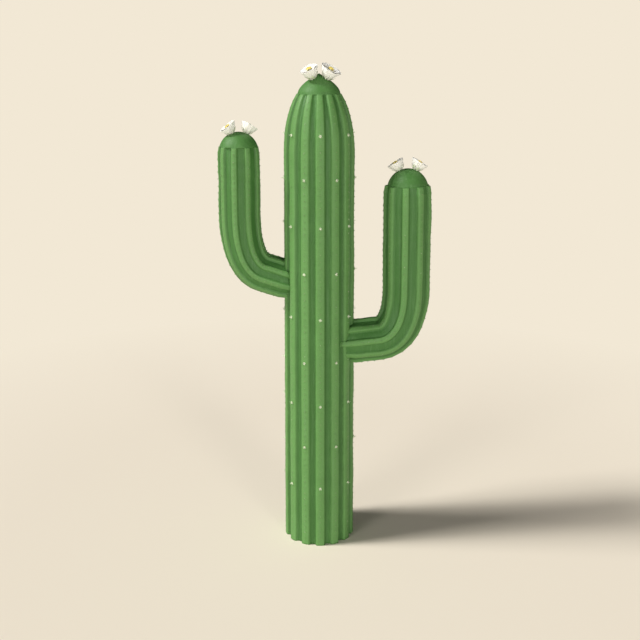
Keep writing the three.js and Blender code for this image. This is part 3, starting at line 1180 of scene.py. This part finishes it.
@dataclass
class Bloom:
    """An open bloom that stands on the dome of a limb.

    azimuth is the direction it leans in, from the front towards +X, and tilt how far it leans, both in
    degrees. seat is how far from the limb's axis it stands, height from there to its rim, and rim its radius.
    """

    name: str
    limb: Limb
    azimuth: float
    seat: float
    tilt: float
    height: float
    rim: float
    seed: int

    STEPS = 9
    ACROSS = 7
    BLUNT_END = 0.985
    DROOP = (-0.004, 0.003)
    SHORTENING = (-0.05, 0.02)
    WIDTH_SPREAD = (0.9, 1.08)
    ROOT_WIDTH = 0.38
    RIPPLE = (0.0004, 0.0013)
    FOLD_DEPTH = 0.0011
    FOLD_WIDTH = 0.22
    EDGE_THINNING = 0.85
    TURN_SPREAD = 0.07
    SECOND_TINT = 0.3
    STAMENS = 170
    MOUND = 0.0205
    FLOOR = 0.765
    FILAMENT_RADIUS = 0.00045
    ANTHER_RADIUS = (0.0014, 0.0020)
    STIGMA_FINGERS = 9

    def frame(self) -> tuple[Array, Array]:
        """Works out how the bloom stands on its dome.

        Returns:
            The bloom's seat, and its axes as the columns of a 3 by 3 matrix.
        """
        turn, tilt = math.radians(self.azimuth), math.radians(self.tilt)
        outward = np.array([math.sin(turn), -math.cos(turn), 0.0])
        axis = self.limb.place(np.array([self.limb.stations().along[-1]]))[0][0] * [1, 1, 0]
        seat = axis + outward * self.seat + UP * float(self.limb.dome_height(np.array(self.seat)))
        stem = outward * math.sin(tilt) + UP * math.cos(tilt)
        hinge = np.cross(UP, outward)
        return seat, np.stack([np.cross(hinge, stem), hinge, stem], axis=-1)

    def petal(self, whorl: Whorl, turn: float, rng: Random) -> Shape:
        """One petal or bract, in the bloom's own frame.

        Args:
            whorl: The ring it belongs to.
            turn: Its direction round the bloom, in radians.
            rng: The source of its small differences.

        Returns:
            The petal's closed shape.
        """
        knots = np.array(whorl.course) * [self.rim, self.height]
        share = np.linspace(0, self.BLUNT_END, self.STEPS)
        at = np.linspace(0, 1, len(knots))
        line = np.stack([np.polyval(np.polyfit(at, column, 3), share) for column in knots.T], axis=-1)
        line[:, 1] += share**2 * rng.uniform(*self.DROOP)
        line[:, 0] *= 1 + share**2 * rng.uniform(*self.SHORTENING)
        course = unit(np.gradient(line, axis=0))
        rising = smooth(0, whorl.widest, share) * (1 - self.ROOT_WIDTH) + self.ROOT_WIDTH
        past = np.clip((share - whorl.widest) / (1 - whorl.widest), 0, 1)
        half = whorl.width * rising * (1 - past**2) ** whorl.sharp * rng.uniform(*self.WIDTH_SPREAD)
        across = np.linspace(-1, 1, self.ACROSS)
        ripple = rng.uniform(*self.RIPPLE) * np.sin(share * rng.uniform(5, 9) + rng.uniform(0, 6))
        lift = whorl.curl * half[:, None] * across**2 + ripple[:, None] * across**3
        fold = self.FOLD_DEPTH * np.exp(-((across / self.FOLD_WIDTH) ** 2)) * np.sin(share * math.pi)[:, None]
        inward = np.stack([-course[:, 1], course[:, 0]], axis=-1)
        thinned = np.sqrt(np.clip(1 - self.EDGE_THINNING * across**2, 0, 1))
        faces = []
        for level in (whorl.thickness / 2, -whorl.thickness / 2):
            raised = lift - fold + level * thinned
            radius = line[:, 0, None] + inward[:, 0, None] * raised
            height = line[:, 1, None] + inward[:, 1, None] * raised
            faces.append(np.stack([radius, half[:, None] * across + 0 * radius, height], axis=-1))
        rows = np.concatenate([faces[1], faces[0][:, ::-1]], axis=1)
        first, last = rows[0].mean(axis=0), rows[-1].mean(axis=0)
        first = first - (rows[1].mean(axis=0) - first) * 0.1
        last = last + (last - rows[-2].mean(axis=0)) * 0.06
        shape = Shape.tube(rows, first, last)
        turned = turn + rng.uniform(-self.TURN_SPREAD, self.TURN_SPREAD)
        shape.points = shape.points @ np.array(Matrix.Rotation(turned, 3, "Z")).T
        return shape

    def whorls(self, rings: tuple[Whorl, ...], rng: Random) -> Shape:
        """Rings of petals or bracts, each with a tint of its own.

        Args:
            rings: The rings, outermost first.
            rng: The source of their small differences.

        Returns:
            The joined petals.
        """
        made = []
        for whorl in rings:
            for number in range(whorl.count):
                turn = (number + whorl.first) * 2 * math.pi / whorl.count
                shape = self.petal(whorl, turn, rng)
                tint = int(rng.random() < self.SECOND_TINT)
                shape.tint = np.full(len(shape.quads) + len(shape.tris), tint)
                made.append(shape)
        return Shape.joined(made)

    def tube(self) -> Shape:
        """Turns the fleshy tube with its shallow flutes.

        Returns:
            The tube, with the floor of the bowl as its top.
        """
        rim, height = self.rim, self.height
        profile = [
            (0.014, -0.012), (0.0165, -0.002), (0.018, 0.07 * height), (0.29 * rim, 0.18 * height),
            (0.38 * rim, 0.32 * height), (0.47 * rim, 0.50 * height), (0.50 * rim, 0.64 * height),
            (0.44 * rim, 0.73 * height), (0.26 * rim, self.FLOOR * height), (0.08 * rim, self.FLOOR * height),
        ]
        return lathe(profile, 48, 0.05)

    def stamens(self, rng: Random) -> tuple[Shape, Shape]:
        """The filaments and the anthers on them.

        Args:
            rng: The source of their small differences.

        Returns:
            The joined filaments, and the joined anthers.
        """
        order = np.arange(self.STAMENS)
        turn = order * GOLDEN_TURN + rng.uniform(-0.2, 0.2, self.STAMENS)
        out = np.sqrt((order + 6) / (self.STAMENS + 6))
        spoke = on_circle(turn)
        root = spoke * (out * self.MOUND * 0.62)[:, None] + UP * (self.FLOOR - 0.01) * self.height
        top = self.height + 0.0015 - 0.006 * out**2 + rng.uniform(-0.0018, 0.0018, self.STAMENS)
        head = spoke * (out * self.MOUND * rng.uniform(0.86, 1.06, self.STAMENS))[:, None] + top[:, None] * UP
        reach = head - root
        length = np.linalg.norm(reach, axis=1, keepdims=True)
        stem = reach / length
        across = unit(np.cross(stem, spoke + [0.01, 0.02, 0.3]))
        away = np.cross(across, stem)
        thick = self.FILAMENT_RADIUS
        filaments = np.stack([away * thick, across * thick, stem * length], axis=-1)
        pad = cushion(rng, 6, 4)
        size = rng.uniform(*self.ANTHER_RADIUS, (self.STAMENS, 1))
        anthers = np.stack([away * size, across * size * 1.15, stem * size * 1.3], axis=-1)
        tints = rng.integers(0, 2, self.STAMENS)
        return needle(4).copies(filaments, root), pad.copies(anthers, head, tints)

    def pistil(self, rng: Random) -> Shape:
        """The style and the fingers of its stigma.

        Args:
            rng: The source of their small differences.

        Returns:
            The joined shape.
        """
        floor, top, count = self.FLOOR * self.height, self.height + 0.001, self.STIGMA_FINGERS
        profile = [(0.0016, floor - 0.002), (0.0018, floor + 0.008), (0.0022, top), (0.0030, top + 0.001)]
        turn = even_turns(count) + rng.uniform(-0.15, 0.15, count)
        finger = unit(on_circle(turn, height=0.9))
        across = unit(np.cross(finger, UP))
        away = np.cross(across, finger)
        frames = np.stack([away * 0.0009, across * 0.0009, finger * 0.007], axis=-1)
        fingers = needle(5).copies(frames, np.tile(top * UP, (count, 1)))
        return Shape.joined([lathe(profile, 10), fingers])

    def build(self) -> None:
        """Builds and dresses the bloom's pieces."""
        rng = np.random.default_rng(self.seed)
        seat, axes = self.frame()
        threads, heads = self.stamens(rng)
        for part, shape, tints in (
            ("tube", self.tube(), TUBE_TINTS),
            ("bracts", self.whorls((LOWER_BRACTS, UPPER_BRACTS), rng), BRACT_TINTS),
            ("petals", self.whorls((OUTER_PETALS, MIDDLE_PETALS, INNER_PETALS), rng), PETAL_TINTS),
            ("filaments", threads, FILAMENT_TINTS),
            ("anthers", heads, ANTHER_TINTS),
            ("pistil", self.pistil(rng), PISTIL_TINTS),
        ):
            shape.points = shape.points @ axes.T + seat
            add_piece(f"{self.name}_{part}", shape, dressed(tints), Slot.BLOOM, [self.name])


# ---- Studio ----


@dataclass(frozen=True)
class Lamp:
    """A soft light from far away.

    angle is how wide the light is, height how high it stands, and turn its direction from the front
    towards +X, all in degrees.
    """

    name: str
    strength: float
    angle: float
    height: float
    turn: float
    colour: Colour = (1.0, 0.985, 0.95)

    def build(self) -> None:
        """Builds the light."""
        turn, height = math.radians(self.turn), math.radians(self.height)
        level = math.cos(height)
        towards = Vector((level * math.sin(turn), -level * math.cos(turn), math.sin(height)))
        light = bpy.data.lights.new(self.name, "SUN")
        light.energy = self.strength
        light.angle = math.radians(self.angle)
        light.color = self.colour
        lamp = bpy.data.objects.new(self.name, light)
        lamp.rotation_euler = towards.to_track_quat("Z", "Y").to_euler()
        bpy.context.scene.collection.objects.link(lamp)


@dataclass(frozen=True)
class Studio:
    """A pale floor without a visible end, soft light, and the camera."""

    backdrop: Colour = (0.888, 0.807, 0.665)
    floor: Colour = (0.880, 0.798, 0.675)
    floor_near: float = 2.6
    floor_far: float = 6.2
    floor_rings: tuple[float, ...] = (2.0, 6.0, 15.0, 60.0, 400.0)
    floor_columns: int = 96
    ambient: Colour = (0.070, 0.069, 0.068)
    lamps: tuple[Lamp, ...] = (
        Lamp("key_side", 1.6, 11.0, 46.0, -87.5),
        Lamp("key_front", 1.65, 11.0, 46.0, -80.0),
        Lamp("front_left", 1.10, 22.0, 12.0, -38.0),
        Lamp("front_right", 1.15, 14.0, 8.0, 26.0),
    )
    lens: float = 50.6
    camera_place: Triple = (0.0066, -6.601, 3.751)
    camera_tilt: float = 16.58

    def build(self) -> None:
        """Builds the floor, the light and the camera."""
        self.build_floor()
        self.build_world()
        for lamp in self.lamps:
            lamp.build()
        self.build_camera()

    def build_floor(self) -> None:
        """Builds the floor, which turns into plain backdrop colour far out."""
        columns, rings = self.floor_columns, len(self.floor_rings)
        circles = [on_circle(even_turns(columns), radius) for radius in self.floor_rings]
        here = np.arange(columns)
        there = (here + 1) % columns
        start = (np.arange(rings - 1) * columns)[:, None]
        far = start + columns
        quads = np.stack([start + here, far + here, far + there, start + there], axis=-1)
        tris = np.stack([np.full(columns, rings * columns), here, there], axis=1)
        shape = Shape(np.vstack([*circles, [0, 0, 0]]), quads.reshape(-1, 4), tris)
        kit = Nodes("studio_floor", 0.9, 0.0)
        place = kit.add("TexCoord").outputs["Object"]
        distance = kit.add("VectorMath", {"operation": "LENGTH"}, Vector=place).outputs["Value"]
        fade = kit.span(distance, (self.floor_near, self.floor_far), (0.0, 1.0))
        kit.shader.inputs["Base Color"].default_value = (*self.floor, 1)
        glow = kit.add("Emission", Color=(*self.backdrop, 1), Strength=1.0).outputs["Emission"]
        mix = kit.add("MixShader")
        for socket, value in zip(mix.inputs, (fade, kit.shader.outputs["BSDF"], glow)):
            kit.feed(socket, value)
        kit.feed(kit.tree.nodes["Material Output"].inputs["Surface"], mix.outputs[0])
        mesh_object("floor", shape, [kit.material])

    def build_world(self) -> None:
        """Builds the even light of the room, with the backdrop colour where it shows."""
        world = bpy.data.worlds.new("studio")
        bpy.context.scene.world = world
        world.use_nodes = True
        tree = world.node_tree
        room = tree.nodes["Background"]
        room.inputs["Color"].default_value = (*self.ambient, 1)
        shown = tree.nodes.new("ShaderNodeBackground")
        shown.inputs["Color"].default_value = (*self.backdrop, 1)
        path = tree.nodes.new("ShaderNodeLightPath")
        mix = tree.nodes.new("ShaderNodeMixShader")
        outputs = (path.outputs["Is Camera Ray"], room.outputs[0], shown.outputs[0])
        for output, socket in zip(outputs, mix.inputs):
            tree.links.new(output, socket)
        tree.links.new(mix.outputs[0], tree.nodes["World Output"].inputs["Surface"])

    def build_camera(self) -> None:
        """Builds the camera and makes it the scene's own."""
        data = bpy.data.cameras.new("camera")
        data.lens = self.lens
        data.sensor_width = 36.0
        camera = bpy.data.objects.new("camera", data)
        camera.location = self.camera_place
        camera.rotation_euler = (math.radians(90 - self.camera_tilt), 0, 0)
        bpy.context.scene.collection.objects.link(camera)
        bpy.context.scene.camera = camera
        bpy.context.scene.view_settings.view_transform = "Standard"


# ---- The plant ----


def build_limbs() -> dict[str, Limb]:
    """Sets up the trunk and the two arms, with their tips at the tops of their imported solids.

    Returns:
        The limbs by name.
    """
    trunk_section = RibSection(ribs=14, first_crest=2, groove=0.083, flank=(0.44, 0.76), columns=20)
    arm_section = RibSection(ribs=9, first_crest=-10, groove=0.115, flank=(0.31, 0.56), columns=24)
    trunk = Trunk("trunk", ["trunk"], trunk_section, 11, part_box("trunk")[1].z)
    arms = []
    for name, seed, sizes in (
        ("arm_left", 23, dict(
            side=-1, exit_height=2.110, rise=18, reach=0.589, lean=0.009, bend_in=0.185, bend_up=0.411,
            forward=0.0, root_radius=0.150, crest_radius=0.156, shoulder=3.090, dome_radius=0.145,
        )),
        ("arm_right", 37, dict(
            side=1, exit_height=1.632, rise=4.75, reach=0.665, lean=0.016, bend_in=0.223, bend_up=0.403,
            forward=0.047, root_radius=0.170, crest_radius=0.179, shoulder=2.812, dome_radius=0.151,
        )),
    ):
        nodes = [f"{name}_elbow", f"{name}_upright"]
        arms.append(Arm(name, nodes, arm_section, seed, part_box(nodes[1])[1].z, **sizes))
    return {limb.name: limb for limb in (trunk, *arms)}


def build_blooms(limbs: dict[str, Limb]) -> list[Bloom]:
    """Returns the six blooms.

    Args:
        limbs: The limbs by name.

    Returns:
        Two blooms for each limb.
    """
    trunk, left, right = limbs["trunk"], limbs["arm_left"], limbs["arm_right"]
    return [
        Bloom("bloom_trunk_left", trunk, -48, 0.058, 30, 0.084, 0.067, 101),
        Bloom("bloom_trunk_right", trunk, 60, 0.060, 31, 0.084, 0.076, 102),
        Bloom("bloom_arm_left_outer", left, -75, 0.046, 37, 0.066, 0.066, 103),
        Bloom("bloom_arm_left_inner", left, 110, 0.052, 32, 0.068, 0.066, 104),
        Bloom("bloom_arm_right_inner", right, -95, 0.058, 34, 0.070, 0.066, 105),
        Bloom("bloom_arm_right_outer", right, 90, 0.052, 32, 0.070, 0.066, 106),
    ]


def main() -> None:
    """Builds the studio and the plant."""
    logging.basicConfig(level=logging.INFO, format="%(name)s: %(message)s")
    Studio().build()
    limbs = build_limbs()
    skin = SkinFinish().material()
    for limb in limbs.values():
        limb.build_skin(skin)
        limb.build_cover()
    for bloom in build_blooms(limbs):
        bloom.build()


if __name__ == "__main__":
    main()
